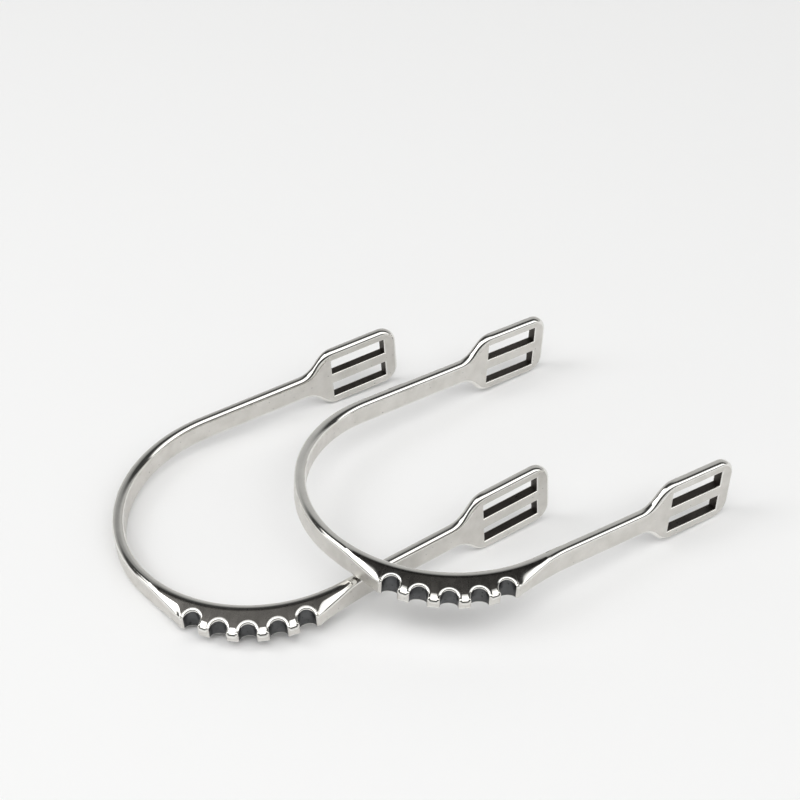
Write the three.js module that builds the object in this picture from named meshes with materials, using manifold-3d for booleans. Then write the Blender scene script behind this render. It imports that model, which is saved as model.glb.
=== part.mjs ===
// A pair of one-piece cast stainless steel comb spurs, lying on edge, one heel resting across the other.
// Millimetres. +X runs forward along the lower spur's arms, +Z is up, and the pair stands on z = 0.
// The origin is on the floor, under the middle of the pair's bounding box.
// Each spur is built in its own frame: the axis of its heel bend is the z axis, its arms run
// forward along +X, its comb is on the -Y side, and z = 0 is the middle of its height.
// Bearings in plan are in degrees, anticlockwise from +X seen from above.

import * as THREE from 'three';
import { mergeVertices } from 'three/addons/utils/BufferGeometryUtils.js';
import Module from 'manifold-3d';

const wasm = await Module();
wasm.setup();

// Yoke: a flat bar bent into a U around the boot heel
const HEEL_RADIUS = 35;
const BAR_THICKNESS = 2.9;
const BAR_HEIGHT = 6.7;
const OUTER_RADIUS = HEEL_RADIUS + BAR_THICKNESS;
const HALF_BAR = BAR_HEIGHT / 2;

// Strap plates at the front ends of the arms, reached by an S-shaped flare
const PLATE_HALF_HEIGHT = 8.9;
const PLATE_END = 61;
const PLATE_CORNER_RADIUS = 4.6;
const FLARE_START = 31.6;
const FLARE_END = 42;

// Two strap slots in each plate, one above the other
const SLOT_START = 40.5;
const SLOT_LENGTH = 16.7;
const SLOT_HEIGHT = 5;
const SLOT_WEB = 2.7;

// Comb: a blunt wedge on the outside of the heel bend, with half-round notches in its edge
const COMB_BEARING = 234.6;
const COMB_TIP_RADIUS = 43.6;
const COMB_ARC_RADIUS = 27;
const COMB_EDGE_HEIGHT = 2.6;
const COMB_HALF_SPAN = 38.5;
const COMB_ROOT_SINK = 1;
const COMB_ROOT_END = 268;
const SHOULDER_ROUNDING = 5;
const NOTCH_COUNT = 5;
const NOTCH_STEP = 15.8;
const NOTCH_RADIUS = 2.05;
const NOTCH_DEPTH = 3.2;

// How far each arm leans in towards the other, in degrees: the two castings differ a little
const LOWER_SPUR = { name: 'lower_spur', farTurn: 3.6, nearTurn: 0.2 };
const UPPER_SPUR = { name: 'upper_spur', farTurn: -1.1, nearTurn: -0.7 };

// Where the upper spur's heel axis lies from the lower one's, and the gap kept where they cross
const UPPER_FORWARD = 39;
const UPPER_SIDEWAYS = -23.5;
const UPPER_YAW = 1.4;
const CROSSING_GAP = 0.3;

// Fineness of the curves, and how far the cutting solids reach past the spur
const ARC_STEP = 6;
const NOTCH_ARC_STEP = 22.5;
const SHOULDER_STEPS = 6;
const PLATE_CURVE_STEPS = 8;
const MARGIN = 5;

const radians = THREE.MathUtils.degToRad;
const degrees = THREE.MathUtils.radToDeg;
const heelAxis = new THREE.Vector2();

// Solids for joining and cutting

function toSolid(geometry) {
  const bare = geometry.clone();
  bare.deleteAttribute('normal');
  bare.deleteAttribute('uv');
  const merged = mergeVertices(bare, 1e-4);
  const mesh = new wasm.Mesh({
    numProp: 3,
    vertProperties: merged.attributes.position.array,
    triVerts: new Uint32Array(merged.index.array),
  });
  return new wasm.Manifold(mesh);
}

function toGeometry(solid) {
  const mesh = solid.getMesh();
  const geometry = new THREE.BufferGeometry();
  geometry.setAttribute('position', new THREE.BufferAttribute(mesh.vertProperties, 3));
  geometry.setIndex(new THREE.BufferAttribute(mesh.triVerts, 1));
  geometry.computeVertexNormals();
  return geometry;
}

// Plan geometry

function direction(bearing) {
  return new THREE.Vector2(Math.cos(radians(bearing)), Math.sin(radians(bearing)));
}

function pointAt(centre, radius, bearing) {
  return direction(bearing).multiplyScalar(radius).add(centre);
}

function arc(centre, radius, from, to, step) {
  const count = Math.ceil(Math.abs(to - from) / step);
  const points = [];
  for (let i = 0; i <= count; i++) {
    points.push(pointAt(centre, radius, from + ((to - from) * i) / count));
  }
  return points;
}

// The bearings at which the bend hands over to the far arm and to the near arm
function armBearings({ farTurn, nearTurn }) {
  return { far: 90 - farTurn, near: 270 + nearTurn };
}

// The end of an arm's face at x = PLATE_END, for a face square to the given bearing
function armEnd(radius, bearing) {
  const normal = direction(bearing);
  return new THREE.Vector2(PLATE_END, (radius - PLATE_END * normal.x) / normal.y);
}

// The U of the bar seen from above
function yokePlan(spur) {
  const { far, near } = armBearings(spur);
  return new THREE.Shape([
    armEnd(OUTER_RADIUS, far),
    ...arc(heelAxis, OUTER_RADIUS, far, near, ARC_STEP),
    armEnd(OUTER_RADIUS, near),
    armEnd(HEEL_RADIUS, near),
    ...arc(heelAxis, HEEL_RADIUS, near, far, ARC_STEP),
    armEnd(HEEL_RADIUS, far),
  ]);
}

const combCentre = pointAt(heelAxis, COMB_TIP_RADIUS - COMB_ARC_RADIUS, COMB_BEARING);

// One lip of the notch on the given bearing, where it opens through the comb's arc; side is -1 or 1
function notchLip(bearing, side) {
  const halfWidth = degrees(Math.asin(NOTCH_RADIUS / COMB_ARC_RADIUS));
  return pointAt(combCentre, COMB_ARC_RADIUS, bearing + side * halfWidth);
}

function notch(bearing) {
  const centre = pointAt(combCentre, COMB_ARC_RADIUS - NOTCH_DEPTH + NOTCH_RADIUS, bearing);
  return [
    notchLip(bearing, -1),
    ...arc(centre, NOTCH_RADIUS, bearing + 270, bearing + 90, NOTCH_ARC_STEP),
    notchLip(bearing, 1),
  ];
}

// The rounded shoulder between a flank, which starts at root, and the nearest notch lip
function shoulder(root, corner, lip) {
  const along = root.clone().sub(corner).normalize();
  const start = corner.clone().addScaledVector(along, SHOULDER_ROUNDING);
  return new THREE.QuadraticBezierCurve(start, corner, lip).getPoints(SHOULDER_STEPS).slice(0, -1);
}

// The comb seen from above: a shallow arc with notches, joined to the bar by a straight flank on each side
function combPlan(spur) {
  const leftCorner = pointAt(combCentre, COMB_ARC_RADIUS, COMB_BEARING - COMB_HALF_SPAN);
  const rightCorner = pointAt(combCentre, COMB_ARC_RADIUS, COMB_BEARING + COMB_HALF_SPAN);

  // The left flank leaves the bend along its tangent; the right one mirrors it and runs into the arm
  const cornerBearing = degrees(leftCorner.angle());
  const rootBearing = cornerBearing - degrees(Math.acos(OUTER_RADIUS / leftCorner.length()));
  const leftRoot = pointAt(heelAxis, OUTER_RADIUS, rootBearing);
  const armNormal = direction(armBearings(spur).near);
  const flank = direction(2 * COMB_BEARING - rootBearing + 90);
  const reach = (OUTER_RADIUS - rightCorner.dot(armNormal)) / flank.dot(armNormal);
  const rightRoot = rightCorner.clone().addScaledVector(flank, reach);

  const firstNotch = COMB_BEARING - ((NOTCH_COUNT - 1) / 2) * NOTCH_STEP;
  const lastNotch = firstNotch + (NOTCH_COUNT - 1) * NOTCH_STEP;
  const points = [leftRoot, ...shoulder(leftRoot, leftCorner, notchLip(firstNotch, -1))];
  for (let i = 0; i < NOTCH_COUNT; i++) {
    points.push(...notch(firstNotch + i * NOTCH_STEP));
  }
  points.push(...shoulder(rightRoot, rightCorner, notchLip(lastNotch, 1)).reverse(), rightRoot);
  const sunkRadius = OUTER_RADIUS - COMB_ROOT_SINK;
  points.push(...arc(heelAxis, sunkRadius, COMB_ROOT_END, rootBearing, ARC_STEP));
  return new THREE.Shape(points);
}

// The spur seen from the side, in x and z: the bar, the flare and the strap plate
function sideOutline() {
  const back = -COMB_TIP_RADIUS - MARGIN;
  const flareMiddle = (FLARE_START + FLARE_END) / 2;
  const half = PLATE_HALF_HEIGHT;
  const cornerX = PLATE_END - PLATE_CORNER_RADIUS;
  const cornerZ = half - PLATE_CORNER_RADIUS;
  const outline = new THREE.Shape();
  outline.moveTo(back, -HALF_BAR);
  outline.lineTo(FLARE_START, -HALF_BAR);
  outline.bezierCurveTo(flareMiddle, -HALF_BAR, flareMiddle, -half, FLARE_END, -half);
  outline.lineTo(cornerX, -half);
  outline.absarc(cornerX, -cornerZ, PLATE_CORNER_RADIUS, -Math.PI / 2, 0);
  outline.lineTo(PLATE_END, cornerZ);
  outline.absarc(cornerX, cornerZ, PLATE_CORNER_RADIUS, 0, Math.PI / 2);
  outline.lineTo(FLARE_END, half);
  outline.bezierCurveTo(flareMiddle, half, flareMiddle, HALF_BAR, FLARE_START, HALF_BAR);
  outline.lineTo(back, HALF_BAR);
  return outline;
}

function extrudeUp(shape, height) {
  const geometry = new THREE.ExtrudeGeometry(shape, { depth: height, bevelEnabled: false });
  return toSolid(geometry.translate(0, 0, -height / 2));
}

function extrudeAcross(shape, width) {
  const settings = { depth: width, bevelEnabled: false, curveSegments: PLATE_CURVE_STEPS };
  const geometry = new THREE.ExtrudeGeometry(shape, settings);
  return toSolid(geometry.rotateX(Math.PI / 2).translate(0, width / 2, 0));
}

// A disc whose top and bottom slope together outside the bar, down to the comb's thin edge
function combWedge() {
  const slope = (HALF_BAR - COMB_EDGE_HEIGHT / 2) / (COMB_TIP_RADIUS - OUTER_RADIUS);
  const rim = COMB_TIP_RADIUS + MARGIN / 2;
  const rimHalf = HALF_BAR - slope * (rim - OUTER_RADIUS);
  const profile = [
    new THREE.Vector2(0, -HALF_BAR),
    new THREE.Vector2(OUTER_RADIUS, -HALF_BAR),
    new THREE.Vector2(rim, -rimHalf),
    new THREE.Vector2(rim, rimHalf),
    new THREE.Vector2(OUTER_RADIUS, HALF_BAR),
    new THREE.Vector2(0, HALF_BAR),
  ];
  return toSolid(new THREE.LatheGeometry(profile, 360 / ARC_STEP).rotateX(Math.PI / 2));
}

function strapSlots(width) {
  const middle = SLOT_START + SLOT_LENGTH / 2;
  const rise = (SLOT_WEB + SLOT_HEIGHT) / 2;
  const slot = new THREE.BoxGeometry(SLOT_LENGTH, width, SLOT_HEIGHT);
  const upper = toSolid(slot.clone().translate(middle, 0, rise));
  const lower = toSolid(slot.clone().translate(middle, 0, -rise));
  return upper.add(lower);
}

function spurGeometry(spur) {
  const width = 2 * (OUTER_RADIUS + MARGIN);
  const yoke = extrudeUp(yokePlan(spur), 2 * PLATE_HALF_HEIGHT + MARGIN);
  const bar = yoke.intersect(extrudeAcross(sideOutline(), width));
  const comb = extrudeUp(combPlan(spur), 2 * BAR_HEIGHT).intersect(combWedge());
  return toGeometry(bar.add(comb).subtract(strapSlots(width)));
}

// Resting poses: both spurs stand on the lower edges of their strap plates

// The lower spur's heel is down as well, so its arms rise towards the plates
function lowerPose() {
  const tilt = Math.atan((PLATE_HALF_HEIGHT - HALF_BAR) / (OUTER_RADIUS + FLARE_END));
  const height = OUTER_RADIUS * Math.sin(tilt) + HALF_BAR * Math.cos(tilt);
  return { tilt, height };
}

// The upper spur's heel bend lies across the lower spur's near arm, so its arms fall towards the plates.
// The two are closest where the inside of the bend passes over the outer edge of that arm.
function upperPose(lower) {
  const sideways = -OUTER_RADIUS - UPPER_SIDEWAYS;
  const behindAxis = Math.sqrt(HEEL_RADIUS ** 2 - sideways ** 2);
  const armMiddle = lower.height + (UPPER_FORWARD - behindAxis) * Math.sin(lower.tilt);
  const crossing = armMiddle + HALF_BAR * Math.cos(lower.tilt) + CROSSING_GAP;
  const footing = PLATE_END - PLATE_CORNER_RADIUS;
  const run = footing + behindAxis;
  const rise = PLATE_HALF_HEIGHT - HALF_BAR;
  const tilt = Math.asin(crossing / Math.hypot(run, rise)) - Math.atan2(rise, run);
  const height = footing * Math.sin(tilt) + PLATE_HALF_HEIGHT * Math.cos(tilt);
  return { tilt, height };
}

function steel(color, roughness) {
  return new THREE.MeshStandardMaterial({ color, roughness, metalness: 1 });
}

const lower = lowerPose();
const lowerSpur = new THREE.Mesh(spurGeometry(LOWER_SPUR), steel(0xc4c1bb, 0.32));
lowerSpur.name = LOWER_SPUR.name;
lowerSpur.rotation.y = -lower.tilt;
lowerSpur.position.z = lower.height;

const upper = upperPose(lower);
const upperSpur = new THREE.Mesh(spurGeometry(UPPER_SPUR), steel(0xc2bfb8, 0.3));
upperSpur.name = UPPER_SPUR.name;
upperSpur.rotation.set(0, upper.tilt, radians(UPPER_YAW), 'ZYX');
upperSpur.position.set(UPPER_FORWARD, UPPER_SIDEWAYS, upper.height);

const spurs = new THREE.Group();
spurs.add(lowerSpur, upperSpur);

const pair = new THREE.Group();
pair.add(spurs);

// Stand the pair on z = 0, centred on the origin
const box = new THREE.Box3().setFromObject(pair, true);
const middle = box.getCenter(new THREE.Vector3());
spurs.position.set(-middle.x, -middle.y, -box.min.z);

export default pair;
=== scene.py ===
import math

import bmesh
import bpy
from mathutils import Matrix, Vector


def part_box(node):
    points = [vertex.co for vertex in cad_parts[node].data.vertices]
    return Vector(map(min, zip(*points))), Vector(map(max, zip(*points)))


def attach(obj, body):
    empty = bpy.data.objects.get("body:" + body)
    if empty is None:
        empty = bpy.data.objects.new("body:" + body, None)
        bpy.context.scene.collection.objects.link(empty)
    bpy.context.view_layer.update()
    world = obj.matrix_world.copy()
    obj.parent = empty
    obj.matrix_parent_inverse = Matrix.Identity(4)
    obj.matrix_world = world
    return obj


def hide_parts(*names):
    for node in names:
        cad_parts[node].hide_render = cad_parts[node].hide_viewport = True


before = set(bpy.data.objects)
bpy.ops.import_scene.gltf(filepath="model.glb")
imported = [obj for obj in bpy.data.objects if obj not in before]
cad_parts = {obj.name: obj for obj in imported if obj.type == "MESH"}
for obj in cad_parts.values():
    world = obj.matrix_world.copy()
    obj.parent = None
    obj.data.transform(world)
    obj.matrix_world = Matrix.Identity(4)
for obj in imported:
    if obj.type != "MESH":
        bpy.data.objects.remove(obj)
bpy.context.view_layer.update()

# A pair of cast stainless steel comb spurs.
#
# Each casting is built in its own frame, in millimetres. The axis of the heel bend is the z axis,
# the arms run forward along +X, the comb is on the -Y side, and z = 0 is the middle of the height.
# Bearings are in degrees, anticlockwise from +X seen from above. An inset is a distance outward
# from the yoke's inner face. "Far" is the arm on the +Y side, and "near" the one on the -Y side.

MM = 0.001

# The yoke, as in the CAD part
HEEL_RADIUS = 35.0
BAR_THICKNESS = 2.9
BAR_HEIGHT = 6.7
OUTER_RADIUS = HEEL_RADIUS + BAR_THICKNESS
HALF_BAR = BAR_HEIGHT / 2
PLATE_HALF_HEIGHT = 8.9
PLATE_END = 61.0
PLATE_CORNER_RADIUS = 4.6
FLARE_START = 31.6
FLARE_END = 42.0
SLOT_START = 40.5
SLOT_LENGTH = 16.7
SLOT_HEIGHT = 5.0
SLOT_WEB = 2.7

# The comb, as in the CAD part
COMB_BEARING = 234.6
COMB_TIP_RADIUS = 43.6
COMB_ARC_RADIUS = 27.0
COMB_EDGE_HEIGHT = 2.6
COMB_HALF_SPAN = 38.5
SHOULDER_ROUNDING = 5.0
NOTCH_COUNT = 5
NOTCH_STEP = 15.8
NOTCH_RADIUS = 2.05
NOTCH_DEPTH = 3.2

# Resting place of the two castings, as in the CAD part. ARM_TURNS gives how far the far and the
# near arm turn away from parallel.
ARM_TURNS = {"lower_spur": (3.6, 0.2), "upper_spur": (-1.1, -0.7)}
UPPER_FORWARD = 39.0
UPPER_SIDEWAYS = -23.5
UPPER_YAW = 1.4
CROSSING_GAP = 0.3

# Edges: the long edges are rolled over and polished, and meet the satin faces at a crease, where
# their normals are CREASE_ANGLE above the face's own
INNER_ROUNDING = 1.35
OUTER_ROUNDING = 1.15
SHOULDER_EDGE = 1.45
TOOTH_EDGE = 1.35
NOTCH_EDGE = 0.7
CREASE_ANGLE = 12.0
ROUNDING_STEPS = 6

# Corners of the notches in plan, and how far past a corner its edge is still broad
TOOTH_CORNER = 0.95
LIP_CORNER = 0.6
WALL_ANGLE = 55.0
CORNER_STEPS = 7
FLOOR_STEPS = 9
# Largest turn of the inner end of a notch's sections from the notch's own bearing
INNER_LEAN = 4.8

# The comb's top: level as far as SLOPE_INSET, then falling to a crowned strip along its outline
TOP_CREASE = 1.65
SLOPE_INSET = 2.1
SLOPE_BLEND = 0.5
SLOPE_MARGIN = 0.3
MARGIN_SHARE = 0.6
CROWN_WIDTH = 1.35
CROWN_DROP = 0.24
CROWN_STEPS = 3
COMB_SLOPE = (HALF_BAR - COMB_EDGE_HEIGHT / 2) / (COMB_TIP_RADIUS - HEEL_RADIUS - SLOPE_INSET)
# The slope is at its full angle where the comb stands this far proud of the bar
PROUD_RANGE = 0.8
# A piece of the comb's top that falls less than this keeps the polish of the arms, and one that
# falls more gets the slope's painted shade
LEAST_FALL = 0.1

# Slot rims: quarter rounds at both faces of the plates, made by flared cutters
SLOT_RIM = 0.35
SLOT_RIM_ANGLES = (0, 30, 60, 90)
CUTTER_OVERRUN = 1.0
POINT_GAP = 0.02

# Stations of the sections: along the arms at these x, and in these numbers of steps. The flare's
# direction is taken over FLARE_DELTA of its curve to either side, and the bend's step is in degrees.
PLATE_STATIONS = (53.0, 49.0, 45.0)
BAR_STATIONS = (26.0, 20.0, 15.0, 10.0, 6.0)
PLATE_CORNER_STEPS = 12
FLARE_STEPS = 20
FLARE_DELTA = 0.01
HEEL_STEP = 3.0
FLANK_STEPS = 10
NEAR_FLANK_STEPS = 12
FLANK_BLEND = 4.0
BLEND_STEPS = 8
ARM_CLEARANCE = 0.5

# Sharp lines are kept on edges that turn more than SHARP_TURN, and between two materials on edges
# that turn more than FINISH_TURN, except where the polish meets the slope's painted shade
SHARP_TURN = 40.0
FINISH_TURN = 4.0

# Finishes of the steel, and the painted shade of the comb's slope, in the order of the materials on
# each casting: (name, darkest colour, lightest colour, roughness range, grain strength, share of
# specks)
SATIN, POLISHED, SHADED_SLOPE, SLOT_WALL, NOTCH_WALL = range(5)
FINISHES = (
    ("satin_steel", (0.63, 0.612, 0.578), (0.73, 0.712, 0.68), (0.34, 0.44), 0.25, 0.24),
    ("polished_steel", (0.78, 0.77, 0.74), (0.84, 0.83, 0.80), (0.08, 0.13), 0.05, 0.15),
    # The comb's slope: its dark colour is painted shade, standing in for the dark part of the studio
    # that the slope mirrors
    ("comb_slope_painted_shade", (0.1, 0.095, 0.089), (0.14, 0.133, 0.124), (0.24, 0.3), 0.3, 0.25),
    ("slot_wall_steel", (0.055, 0.05, 0.045), (0.09, 0.08, 0.072), (0.4, 0.55), 0.4, 0.3),
    ("notch_wall_steel", (0.06, 0.062, 0.063), (0.12, 0.122, 0.125), (0.3, 0.42), 0.4, 0.3),
)

# Noise in the steel: (scale per metre, detail), and how the noise is spread over its range
MOTTLE_NOISE = (260, 5)
SPECK_NOISE = (1500, 2)
ROUGHNESS_NOISE = (700, 4)
GRAIN_NOISE = (4200, 3)
NOISE_LOW, NOISE_HIGH = 0.3, 0.7
SPECK_SHADE = 0.35
SPECK_SOFTNESS = 0.05
GRAIN_DEPTH = 0.00003

# The camera, at the photo's viewing angle (metres and degrees)
CAMERA_TARGET = (0.02522, 0.03715, 0.0)
CAMERA_AZIMUTH = 33.64
CAMERA_ELEVATION = 38.27
CAMERA_DISTANCE = 0.4685
CAMERA_ROLL = -0.04
CAMERA_LENS = 76.15
SENSOR_WIDTH = 36
CLIP_START = 0.01

# The floor, large enough that its edge is out of sight from a low camera
FLOOR_HALF_SIZE = 30
FLOOR_COLOUR = (0.9, 0.9, 0.905, 1)
FLOOR_ROUGHNESS = 0.7
FLOOR_SPECULAR = 0.2

# The studio round the spurs, as brightness against the angle from straight up, from the viewer's
# side (-90) to the far side (90): pale wall, dark gap, broad soft box, dark ceiling, pale far wall
STUDIO_BANDS = (
    (-90, 0.9), (-74, 1.1),
    (-67, 0.08), (-44, 0.05),
    (-38, 2.2), (-2, 2.2),
    (13, 0.06), (35, 0.06),
    (46, 0.5), (54, 0.66), (90, 0.75),
)
STUDIO_TINT = 0.985
STUDIO_STRENGTH = 0.775

# Lights aimed at the origin: (name, place, diameter in metres, watts, whether the steel mirrors it)
LIGHTS = (
    ("key", (-0.5, 0.35, 0.7), 0.45, 1.0, True),
    ("fill", (-0.25, -0.55, 0.9), 1.2, 3.2, False),
)


# Plan geometry

def direction(bearing):
    return Vector((math.cos(math.radians(bearing)), math.sin(math.radians(bearing))))


def bearing_of(point):
    return math.degrees(math.atan2(point.y, point.x)) % 360


def spread(start, stop, count):
    """count + 1 evenly spaced values from start to stop."""
    return [start + (stop - start) * i / count for i in range(count + 1)]


def bezier(points, u):
    """A point of the Bezier curve with these control points."""
    while len(points) > 1:
        points = [a.lerp(b, u) for a, b in zip(points, points[1:])]
    return points[0]


def smooth(value, low, high):
    """0 up to low, 1 from high on, and a smooth rise between them."""
    u = min(1.0, max(0.0, (value - low) / (high - low)))
    return u * u * (3 - 2 * u)


def rounding(radius, start, stop):
    """(depth in from the face, depth down from the top) along an edge, between two angles."""
    lead = math.cos(math.radians(CREASE_ANGLE))
    points = []
    for angle in spread(start, stop, ROUNDING_STEPS):
        turn = math.radians(angle)
        points.append((radius * (lead - math.cos(turn)), radius * (1 - math.sin(turn))))
    return points


# Sections: each is the list of points across the top of the casting, from the inner face outward

def side_outline():
    """The arm's upper edge from the side, as ((x, z), normal), from its front end to the bend."""
    corner = Vector((PLATE_END - PLATE_CORNER_RADIUS, PLATE_HALF_HEIGHT - PLATE_CORNER_RADIUS))
    level = Vector((0, 1))
    outline = []
    for angle in spread(0, 90, PLATE_CORNER_STEPS):
        outline.append((corner + PLATE_CORNER_RADIUS * direction(angle), direction(angle)))
    for x in PLATE_STATIONS:
        outline.append((Vector((x, PLATE_HALF_HEIGHT)), level))
    middle = (FLARE_START + FLARE_END) / 2
    control = [
        Vector((FLARE_END, PLATE_HALF_HEIGHT)),
        Vector((middle, PLATE_HALF_HEIGHT)),
        Vector((middle, HALF_BAR)),
        Vector((FLARE_START, HALF_BAR)),
    ]
    for u in spread(0, 1, FLARE_STEPS):
        ahead = bezier(control, min(1, u + FLARE_DELTA))
        along = ahead - bezier(control, max(0, u - FLARE_DELTA))
        outline.append((bezier(control, u), Vector((along.y, -along.x)).normalized()))
    for x in BAR_STATIONS:
        outline.append((Vector((x, HALF_BAR)), level))
    return outline


def arm_point(normal, inset, x, z):
    """A point of the arm whose faces are square to normal."""
    return Vector((x, (HEEL_RADIUS + inset - x * normal.x) / normal.y, z))


def arm_section(normal, place, edge_normal):
    """A section of an arm whose faces are square to normal, at one point of the side outline.
    The arm has no slope, so the points that the comb's slope needs are bunched at the crease."""
    section = []
    for depth, drop in rounding(INNER_ROUNDING, CREASE_ANGLE, 90):
        spot = place - drop * edge_normal
        section.append(arm_point(normal, depth, spot.x, spot.y))
    for step in range(CROWN_STEPS + 2):
        section.append(arm_point(normal, TOP_CREASE + POINT_GAP * step, place.x, place.y))
    for depth, drop in reversed(rounding(OUTER_ROUNDING, CREASE_ANGLE, 90)):
        spot = place - drop * edge_normal
        section.append(arm_point(normal, BAR_THICKNESS - depth, spot.x, spot.y))
    return section


def inset_of(point, arm_normal):
    """How far a plan point lies outward from the inner face, round the bend and on the near arm."""
    if point.x > 0 > point.y:
        return point.dot(arm_normal) - HEEL_RADIUS
    return point.length - HEEL_RADIUS


def bend_section(inner, inner_normal, outer, outer_normal, edge, arm_normal):
    """A section of the bend or the comb, from a plan point on the inner face to an outer one."""
    section = []
    for depth, drop in rounding(INNER_ROUNDING, CREASE_ANGLE, 90):
        spot = inner + depth * inner_normal
        section.append(Vector((spot.x, spot.y, HALF_BAR - drop)))

    # The slope grows as the comb stands out from the bar, and the crown grows with the edge
    proud = smooth(inset_of(outer, arm_normal) - BAR_THICKNESS, 0.0, PROUD_RANGE)
    slope = COMB_SLOPE * proud
    rounded = proud * smooth(edge, NOTCH_EDGE, TOOTH_EDGE)
    crown = CROWN_DROP * rounded
    width = SLOPE_MARGIN + (CROWN_WIDTH - SLOPE_MARGIN) * rounded
    tilt = math.atan(slope * max(0.0, outer_normal.dot(inner_normal)) + 2 * crown / width)
    lead = math.cos(math.radians(CREASE_ANGLE))
    first = outer - outer_normal * edge * (lead - math.sin(tilt))

    def top_at(point):
        return HALF_BAR - slope * max(0.0, inset_of(point, arm_normal) - SLOPE_INSET)

    # The crease at the top of the slope, and the end of its blend
    start = Vector(section[-1].xy)
    first_inset = inset_of(first, arm_normal)
    start_inset = inset_of(start, arm_normal)
    crease_inset = TOP_CREASE + (SLOPE_INSET - TOP_CREASE) * proud
    blend_inset = TOP_CREASE + POINT_GAP + (SLOPE_INSET + SLOPE_BLEND - TOP_CREASE) * proud
    for inset in (crease_inset, blend_inset):
        crease = start.lerp(first, (inset - start_inset) / (first_inset - start_inset))
        section.append(Vector((crease.x, crease.y, top_at(crease))))

    # The crowned strip, and the rounded edge
    margin = first.lerp(crease, min(MARGIN_SHARE, width / (first - crease).length))
    for u in spread(0, 1, CROWN_STEPS)[:-1]:
        spot = margin.lerp(first, u)
        section.append(Vector((spot.x, spot.y, top_at(spot) - crown * u * u)))
    centre = top_at(first) - crown - edge * math.cos(tilt)
    for angle in spread(90 - math.degrees(tilt), CREASE_ANGLE, ROUNDING_STEPS):
        turn = math.radians(angle)
        spot = outer - outer_normal * edge * (lead - math.cos(turn))
        section.append(Vector((spot.x, spot.y, centre + edge * math.sin(turn))))
    return section


# The comb's outline in plan. Each point is (place, outward normal, edge rounding, bearing about the
# comb's centre of the inner end of its section or None, whether it is on a notch's wall).

def comb_axis_point(bearing, out, across):
    """A point given along and across a bearing from the centre of the comb's arc."""
    axis = direction(bearing)
    centre = direction(COMB_BEARING) * (COMB_TIP_RADIUS - COMB_ARC_RADIUS)
    return centre + axis * out + Vector((-axis.y, axis.x)) * across


def right_of(tangent):
    return Vector((tangent.y, -tangent.x))


def rim_edge(angle, wall):
    """Edge rounding on a notch's outline: broad on a tooth's front, narrow round the notch."""
    if wall:
        return NOTCH_EDGE
    return TOOTH_EDGE + (NOTCH_EDGE - TOOTH_EDGE) * smooth(angle, 0, WALL_ANGLE)


def half_notch(corner_radius):
    """One side of a notch, from the tooth's front round its corner to the notch's bottom.
    Each point is (out, across, normal's angle, turn of the inner end of its section, wall)."""
    reach = COMB_ARC_RADIUS - corner_radius
    floor = COMB_ARC_RADIUS - NOTCH_DEPTH + NOTCH_RADIUS
    between = corner_radius + NOTCH_RADIUS
    cosine = (reach ** 2 + floor ** 2 - between ** 2) / (2 * reach * floor)
    lean = math.degrees(math.acos(cosine))
    corner = Vector((reach * cosine, -reach * math.sin(math.radians(lean))))
    meeting = bearing_of(Vector((floor, 0)) - corner)
    points = []
    for i, angle in enumerate(spread(-lean, meeting, CORNER_STEPS)):
        spot = corner + corner_radius * direction(angle)
        turn = -lean + (lean - INNER_LEAN) * i / CORNER_STEPS
        points.append((spot.x, spot.y, angle, turn, angle > WALL_ANGLE))
    for angle in spread(meeting, 0, FLOOR_STEPS)[1:]:
        spot = Vector((floor, 0)) - NOTCH_RADIUS * direction(angle)
        turn = -INNER_LEAN * math.sin(math.radians(angle)) / math.sin(math.radians(meeting))
        points.append((spot.x, spot.y, angle, turn, True))
    return points


def left_shoulder(lip_point, first_bearing):
    """The outline from the flank's root on the bend to the first notch."""
    corner = comb_axis_point(COMB_BEARING - COMB_HALF_SPAN, COMB_ARC_RADIUS, 0)
    root_bearing = bearing_of(corner) - math.degrees(math.acos(OUTER_RADIUS / corner.length))
    root = OUTER_RADIUS * direction(root_bearing)
    start = corner + (root - corner).normalized() * SHOULDER_ROUNDING
    lip = comb_axis_point(first_bearing, lip_point[0], lip_point[1])
    normal = direction(root_bearing)
    points = []
    for u in spread(0, 1, FLANK_STEPS)[:-1]:
        edge = OUTER_ROUNDING + (SHOULDER_EDGE - OUTER_ROUNDING) * smooth(u, 0, 1)
        points.append((root.lerp(start, u), normal, edge, None, False))
    for u in spread(0, 1, FLANK_STEPS)[:-1]:
        edge = SHOULDER_EDGE + (NOTCH_EDGE - SHOULDER_EDGE) * smooth(u, 0.2, 1)
        tangent = bezier([corner - start, lip - corner], u).normalized()
        points.append((bezier([start, corner, lip], u), right_of(tangent), edge, None, False))
    return points, root_bearing


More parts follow.
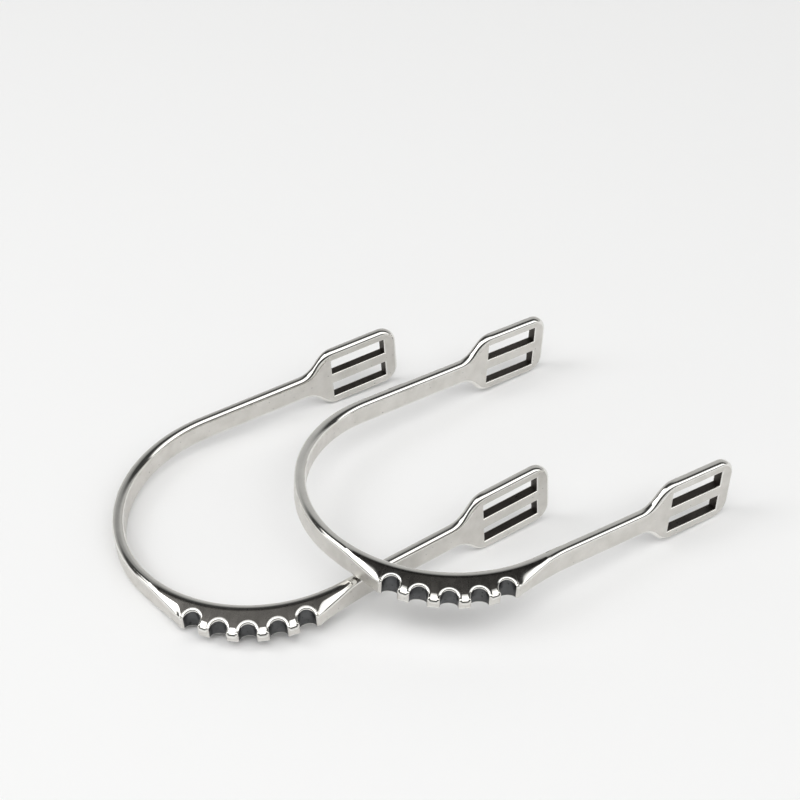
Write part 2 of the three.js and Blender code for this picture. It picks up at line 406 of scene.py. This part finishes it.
def right_shoulder(lip_point, last_bearing, root_bearing, arm_normal):
    """The outline from the last notch to where the flank has blended into the near arm."""
    corner = comb_axis_point(COMB_BEARING + COMB_HALF_SPAN, COMB_ARC_RADIUS, 0)
    flank = direction(2 * COMB_BEARING - root_bearing + 90)
    root = corner + (OUTER_RADIUS - corner.dot(arm_normal)) / flank.dot(arm_normal) * flank
    start = corner + (root - corner).normalized() * SHOULDER_ROUNDING
    lip = comb_axis_point(last_bearing, lip_point[0], -lip_point[1])
    before = root - flank * FLANK_BLEND
    beyond = root + Vector((-arm_normal.y, arm_normal.x)) * FLANK_BLEND
    points = []
    for u in spread(0, 1, FLANK_STEPS)[1:]:
        edge = NOTCH_EDGE + (SHOULDER_EDGE - NOTCH_EDGE) * smooth(u, 0, 0.8)
        tangent = bezier([corner - lip, start - corner], u).normalized()
        points.append((bezier([lip, corner, start], u), right_of(tangent), edge, None, False))
    for u in spread(0, 1, NEAR_FLANK_STEPS)[1:-1]:
        edge = SHOULDER_EDGE + (OUTER_ROUNDING - SHOULDER_EDGE) * smooth(u, 0, 1)
        points.append((start.lerp(before, u), right_of(flank), edge, None, False))
    for u in spread(0, 1, BLEND_STEPS):
        tangent = bezier([root - before, beyond - root], u).normalized()
        place = bezier([before, root, beyond], u)
        points.append((place, right_of(tangent), OUTER_ROUNDING, None, False))
    return points


def notches(tooth_side, lip_side, first_bearing):
    """The outline of the notches and of the teeth between them."""
    points = []
    for i in range(NOTCH_COUNT):
        bearing = first_bearing + i * NOTCH_STEP
        before = tooth_side if i > 0 else lip_side
        after = tooth_side if i < NOTCH_COUNT - 1 else lip_side
        for out, across, angle, turn, wall in before:
            place = comb_axis_point(bearing, out, across)
            edge = rim_edge(angle, wall)
            points.append((place, direction(bearing + angle), edge, bearing + turn, wall))
        for out, across, angle, turn, wall in reversed(after[:-1]):
            place = comb_axis_point(bearing, out, -across)
            edge = rim_edge(angle, wall)
            points.append((place, direction(bearing - angle), edge, bearing - turn, wall))
        if i < NOTCH_COUNT - 1:
            middle = bearing + NOTCH_STEP / 2
            place = comb_axis_point(middle, COMB_ARC_RADIUS, 0)
            points.append((place, direction(middle), TOOTH_EDGE, middle, False))
    return points


def comb_outline(arm_normal):
    """The comb's outline from the left flank's root to the end of the right flank's blend."""
    first_bearing = COMB_BEARING - (NOTCH_COUNT - 1) / 2 * NOTCH_STEP
    last_bearing = first_bearing + (NOTCH_COUNT - 1) * NOTCH_STEP
    lip_side = half_notch(LIP_CORNER)
    left, root_bearing = left_shoulder(lip_side[0], first_bearing)
    middle = notches(half_notch(TOOTH_CORNER), lip_side, first_bearing)
    right = right_shoulder(lip_side[0], last_bearing, root_bearing, arm_normal)
    return left + middle + right


def heel_axis_bearing(comb_bearing):
    """The bearing about the heel axis of the comb's edge point at a bearing about its centre."""
    return bearing_of(comb_axis_point(comb_bearing, COMB_ARC_RADIUS, 0))


def inner_end(point, share, near_normal):
    """The inner end, with its normal, of the section to an outline point. On the notches it moves
    steadily onward with share, and elsewhere it is the nearest point of the inner face."""
    if share is not None:
        normal = direction(heel_axis_bearing(share))
        return HEEL_RADIUS * normal, normal
    if point.x > 0 or bearing_of(point) > bearing_of(near_normal):
        y = (HEEL_RADIUS - point.x * near_normal.x) / near_normal.y
        return Vector((point.x, y)), near_normal
    normal = point.normalized()
    return HEEL_RADIUS * normal, normal


def spur_sections(arm_turns):
    """All sections from the far plate's end to the near one's, and which are on notch walls."""
    far_bearing = 90 - arm_turns[0]
    far_normal = direction(far_bearing)
    near_normal = direction(270 + arm_turns[1])
    outline = comb_outline(near_normal)
    root_bearing = bearing_of(outline[0][0])

    sections = [arm_section(far_normal, *edge) for edge in side_outline()]
    steps = round((root_bearing - far_bearing) / HEEL_STEP)
    for bearing in spread(far_bearing, root_bearing, steps)[:-1]:
        normal = direction(bearing)
        inner, outer = HEEL_RADIUS * normal, OUTER_RADIUS * normal
        sections.append(bend_section(inner, normal, outer, normal, OUTER_ROUNDING, near_normal))
    walls = [False] * len(sections)

    for point, normal, edge, share, wall in outline:
        inner, inner_normal = inner_end(point, share, near_normal)
        sections.append(bend_section(inner, inner_normal, point, normal, edge, near_normal))
        walls.append(wall)

    end_x = outline[-1][0].x
    for place, edge_normal in reversed(side_outline()):
        if place.x > end_x + ARM_CLEARANCE:
            sections.append(arm_section(near_normal, place, edge_normal))
            walls.append(False)
    return sections, walls


# The meshes

def add_object(name, mesh, materials):
    """Turns a bmesh into an object in the scene."""
    data = bpy.data.meshes.new(name)
    mesh.to_mesh(data)
    mesh.free()
    for material in materials:
        data.materials.append(material)
    made = bpy.data.objects.new(name, data)
    bpy.context.scene.collection.objects.link(made)
    return made


def add_loft(mesh, sections, walls):
    """Skins the sections, mirrored below the mid-plane, and closes both ends."""
    tops = []
    bottoms = []
    for section in sections:
        tops.append([mesh.verts.new(point) for point in section])
        bottoms.append([mesh.verts.new((point.x, point.y, -point.z)) for point in section])

    def face(corners, material):
        made = mesh.faces.new(corners)
        made.material_index = material
        made.smooth = True

    crease = ROUNDING_STEPS + 1
    margin = crease + 2
    count = len(sections[0])
    for i in range(len(sections) - 1):
        # The falling strip of the comb's top gets the slope material, whose dark colour is painted
        # shade
        comb = sections[i][crease].z - sections[i][margin].z > LEAST_FALL
        for k in range(count - 1):
            material = SHADED_SLOPE if comb and crease <= k < margin else POLISHED
            face([tops[i][k], tops[i + 1][k], tops[i + 1][k + 1], tops[i][k + 1]], material)
            face([bottoms[i][k + 1], bottoms[i + 1][k + 1], bottoms[i + 1][k], bottoms[i][k]],
                 material)
        face([tops[i][0], bottoms[i][0], bottoms[i + 1][0], tops[i + 1][0]], SATIN)
        outer = NOTCH_WALL if walls[i] and walls[i + 1] else SATIN
        face([bottoms[i][-1], tops[i][-1], tops[i + 1][-1], bottoms[i + 1][-1]], outer)
    for k in range(count - 1):
        face([tops[0][k], tops[0][k + 1], bottoms[0][k + 1], bottoms[0][k]], POLISHED)
        face([tops[-1][k + 1], tops[-1][k], bottoms[-1][k], bottoms[-1][k + 1]], POLISHED)
    bmesh.ops.recalc_face_normals(mesh, faces=mesh.faces[:])


def slot_rings():
    """Rings of a slot cutter, outward through the plate: (inset, how much wider than the walls)."""
    rings = [(-CUTTER_OVERRUN, SLOT_RIM)]
    for angle in SLOT_RIM_ANGLES:
        turn = math.radians(angle)
        inset = SLOT_RIM * (1 - math.cos(turn)) - POINT_GAP
        rings.append((inset, SLOT_RIM * (1 - math.sin(turn))))
    return rings + [(BAR_THICKNESS - inset, wider) for inset, wider in reversed(rings)]


def add_slot_prism(mesh, normal, middle):
    """A prism through one strap slot, flared at both faces of the plate."""
    wall = SLOT_RIM / 2
    rings = []
    for inset, wider in slot_rings():
        back = SLOT_START + wall - wider
        front = SLOT_START + SLOT_LENGTH - wall + wider
        half = SLOT_HEIGHT / 2 - wall + wider
        corners = ((back, -half), (front, -half), (front, half), (back, half))
        rings.append([mesh.verts.new(arm_point(normal, inset, x, middle + z)) for x, z in corners])
    mesh.faces.new(rings[0])
    for i in range(1, len(rings)):
        material = SLOT_WALL if i == len(rings) // 2 else POLISHED
        last, ring = rings[i - 1], rings[i]
        for k in range(4):
            side = (last[k], last[(k + 1) % 4], ring[(k + 1) % 4], ring[k])
            mesh.faces.new(side).material_index = material
    mesh.faces.new(rings[-1])


def cut_slots(casting, materials, arm_turns):
    """Cuts the four strap slots, with rounded rims at both faces of the plates."""
    mesh = bmesh.new()
    for normal in (direction(90 - arm_turns[0]), direction(270 + arm_turns[1])):
        for level in (-1, 1):
            add_slot_prism(mesh, normal, level * (SLOT_WEB + SLOT_HEIGHT) / 2)
    bmesh.ops.recalc_face_normals(mesh, faces=mesh.faces[:])
    cutter = add_object("slot_cutter", mesh, materials)

    modifier = casting.modifiers.new("slots", "BOOLEAN")
    modifier.operation = "DIFFERENCE"
    modifier.solver = "EXACT"
    modifier.object = cutter
    bpy.context.view_layer.update()
    evaluated = casting.evaluated_get(bpy.context.evaluated_depsgraph_get())
    cut = bpy.data.meshes.new_from_object(evaluated)
    casting.modifiers.clear()
    casting.data = cut
    casting.data.name = casting.name
    bpy.data.objects.remove(cutter)


def mark_creases(mesh):
    """Keeps the crisp lines where the satin faces meet the polished edges."""
    for face in mesh.faces:
        face.smooth = True
    for edge in mesh.edges:
        if len(edge.link_faces) != 2:
            continue
        kinds = {face.material_index for face in edge.link_faces}
        angle = math.degrees(edge.calc_face_angle(0.0))
        materials_meet = len(kinds) == 2 and kinds != {POLISHED, SHADED_SLOPE}
        edge.smooth = not (angle > SHARP_TURN or (materials_meet and angle > FINISH_TURN))


def resting_turns():
    """The rotation of each casting where it lies, worked out as in the CAD part."""
    rise = PLATE_HALF_HEIGHT - HALF_BAR
    lower_tilt = math.atan(rise / (OUTER_RADIUS + FLARE_END))
    lower_height = OUTER_RADIUS * math.sin(lower_tilt) + HALF_BAR * math.cos(lower_tilt)
    behind = math.sqrt(HEEL_RADIUS ** 2 - (OUTER_RADIUS + UPPER_SIDEWAYS) ** 2)
    arm_middle = lower_height + (UPPER_FORWARD - behind) * math.sin(lower_tilt)
    crossing = arm_middle + HALF_BAR * math.cos(lower_tilt) + CROSSING_GAP
    run = PLATE_END - PLATE_CORNER_RADIUS + behind
    upper_tilt = math.asin(crossing / math.hypot(run, rise)) - math.atan2(rise, run)
    lower = Matrix.Rotation(-lower_tilt, 4, "Y")
    yaw = Matrix.Rotation(math.radians(UPPER_YAW), 4, "Z")
    return {"lower_spur": lower, "upper_spur": yaw @ Matrix.Rotation(upper_tilt, 4, "Y")}


def settle(mesh, node, turn):
    """Turns the mesh to its resting place and scales it to metres, against the CAD node's box."""
    bmesh.ops.transform(mesh, matrix=Matrix.Scale(MM, 4) @ turn, verts=mesh.verts[:])
    low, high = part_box(node)
    back = min(vert.co.x for vert in mesh.verts)
    left = max(vert.co.y for vert in mesh.verts)
    bottom = min(vert.co.z for vert in mesh.verts)
    shift = Vector((low.x - back, high.y - left, low.z - bottom))
    bmesh.ops.translate(mesh, vec=shift, verts=mesh.verts[:])


def make_casting(node, body, materials):
    sections, walls = spur_sections(ARM_TURNS[node])
    mesh = bmesh.new()
    add_loft(mesh, sections, walls)
    casting = add_object(node + "_casting", mesh, materials)
    cut_slots(casting, materials, ARM_TURNS[node])

    mesh = bmesh.new()
    mesh.from_mesh(casting.data)
    mark_creases(mesh)
    settle(mesh, node, resting_turns()[node])
    mesh.to_mesh(casting.data)
    mesh.free()
    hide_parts(node)
    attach(casting, body)


# Materials

def set_stops(color_ramp, stops):
    """Sets a colour ramp to (position, grey or colour) stops."""
    elements = color_ramp.elements
    while len(elements) < len(stops):
        elements.new(0.5)
    for element, (position, value) in zip(elements, stops):
        element.position = position
        element.color = (*value, 1) if isinstance(value, tuple) else (value, value, value, 1)


class Shader:
    """A small helper for building one Principled material."""

    def __init__(self, name):
        self.material = bpy.data.materials.new(name)
        self.material.use_nodes = True
        self.tree = self.material.node_tree
        self.surface = self.tree.nodes["Principled BSDF"]
        self.place = self.tree.nodes.new("ShaderNodeTexCoord").outputs["Object"]

    def set(self, **values):
        for name, value in values.items():
            self.surface.inputs[name.replace("_", " ")].default_value = value

    def link(self, source, target):
        self.tree.links.new(source, target)

    def noise(self, scale, detail):
        texture = self.tree.nodes.new("ShaderNodeTexNoise")
        texture.inputs["Scale"].default_value = scale
        texture.inputs["Detail"].default_value = detail
        self.link(self.place, texture.inputs["Vector"])
        return texture.outputs["Fac"]

    def ramp(self, source, stops):
        node = self.tree.nodes.new("ShaderNodeValToRGB")
        set_stops(node.color_ramp, stops)
        self.link(source, node.inputs["Fac"])
        return node.outputs["Color"]

    def multiply(self, first, second):
        node = self.tree.nodes.new("ShaderNodeMix")
        node.data_type = "RGBA"
        node.blend_type = "MULTIPLY"
        node.inputs["Factor"].default_value = 1.0
        self.link(first, node.inputs["A"])
        self.link(second, node.inputs["B"])
        return node.outputs["Result"]

    def bump(self, source, strength, distance):
        node = self.tree.nodes.new("ShaderNodeBump")
        node.inputs["Strength"].default_value = strength
        node.inputs["Distance"].default_value = distance
        self.link(source, node.inputs["Height"])
        self.link(node.outputs["Normal"], self.surface.inputs["Normal"])


def steel(name, dark, light, roughness, grain, specks):
    """Cast steel: mottled colour, uneven roughness, a fine grain and small dark casting specks."""
    shader = Shader(name)
    shader.set(Metallic=1.0)
    mottle = shader.ramp(shader.noise(*MOTTLE_NOISE), [(NOISE_LOW, dark), (NOISE_HIGH, light)])
    pits = shader.ramp(shader.noise(*SPECK_NOISE),
                       [(specks, SPECK_SHADE), (specks + SPECK_SOFTNESS, 1.0)])
    shader.link(shader.multiply(mottle, pits), shader.surface.inputs["Base Color"])
    low, high = roughness
    wear = shader.ramp(shader.noise(*ROUGHNESS_NOISE), [(NOISE_LOW, low), (NOISE_HIGH, high)])
    shader.link(wear, shader.surface.inputs["Roughness"])
    shader.bump(shader.noise(*GRAIN_NOISE), grain, GRAIN_DEPTH)
    return shader.material


# Studio

def make_camera():
    data = bpy.data.cameras.new("camera")
    data.lens = CAMERA_LENS
    data.sensor_width = SENSOR_WIDTH
    data.clip_start = CLIP_START
    camera = bpy.data.objects.new("camera", data)
    azimuth = math.radians(CAMERA_AZIMUTH)
    elevation = math.radians(CAMERA_ELEVATION)
    level = math.cos(elevation)
    forward = Vector((math.sin(azimuth) * level, math.cos(azimuth) * level, -math.sin(elevation)))
    camera.location = Vector(CAMERA_TARGET) - forward * CAMERA_DISTANCE
    roll = Matrix.Rotation(math.radians(CAMERA_ROLL), 3, "Z").to_quaternion()
    camera.rotation_euler = (forward.to_track_quat("-Z", "Y") @ roll).to_euler()
    bpy.context.scene.collection.objects.link(camera)
    bpy.context.scene.camera = camera


def make_floor():
    shader = Shader("pale_floor")
    shader.set(Base_Color=FLOOR_COLOUR, Roughness=FLOOR_ROUGHNESS,
               Specular_IOR_Level=FLOOR_SPECULAR)
    mesh = bmesh.new()
    bmesh.ops.create_grid(mesh, x_segments=1, y_segments=1, size=FLOOR_HALF_SIZE)
    add_object("floor", mesh, [shader.material])


def make_world():
    """A studio that the steel mirrors, in bands that run across the photo's line of sight."""
    world = bpy.data.worlds.new("studio")
    bpy.context.scene.world = world
    world.use_nodes = True
    tree = world.node_tree
    background = tree.nodes["Background"]
    place = tree.nodes.new("ShaderNodeTexCoord").outputs["Generated"]

    def dot(axis):
        node = tree.nodes.new("ShaderNodeVectorMath")
        node.operation = "DOT_PRODUCT"
        node.inputs[1].default_value = axis
        tree.links.new(place, node.inputs[0])
        return node.outputs["Value"]

    azimuth = math.radians(CAMERA_AZIMUTH)
    angle = tree.nodes.new("ShaderNodeMath")
    angle.operation = "ARCTAN2"
    tree.links.new(dot((math.sin(azimuth), math.cos(azimuth), 0)), angle.inputs[0])
    tree.links.new(dot((0, 0, 1)), angle.inputs[1])
    share = tree.nodes.new("ShaderNodeMapRange")
    share.inputs["From Min"].default_value = -math.pi / 2
    share.inputs["From Max"].default_value = math.pi / 2
    tree.links.new(angle.outputs[0], share.inputs["Value"])
    ramp = tree.nodes.new("ShaderNodeValToRGB")
    set_stops(ramp.color_ramp, [((degrees + 90) / 180, (value, value, value * STUDIO_TINT))
                                for degrees, value in STUDIO_BANDS])
    tree.links.new(share.outputs["Result"], ramp.inputs["Fac"])
    tree.links.new(ramp.outputs["Color"], background.inputs["Color"])
    background.inputs["Strength"].default_value = STUDIO_STRENGTH


def make_light(name, place, size, watts, mirrored):
    data = bpy.data.lights.new(name, "AREA")
    data.shape = "DISK"
    data.size = size
    data.energy = watts
    light = bpy.data.objects.new(name, data)
    light.location = place
    light.rotation_euler = (-Vector(place)).to_track_quat("-Z", "Y").to_euler()
    light.visible_glossy = mirrored
    bpy.context.scene.collection.objects.link(light)


materials = [steel(*finish) for finish in FINISHES]
make_casting("lower_spur", "lower", materials)
make_casting("upper_spur", "upper", materials)
make_camera()
make_floor()
make_world()
for light in LIGHTS:
    make_light(*light)
bpy.context.scene.view_settings.view_transform = "Standard"
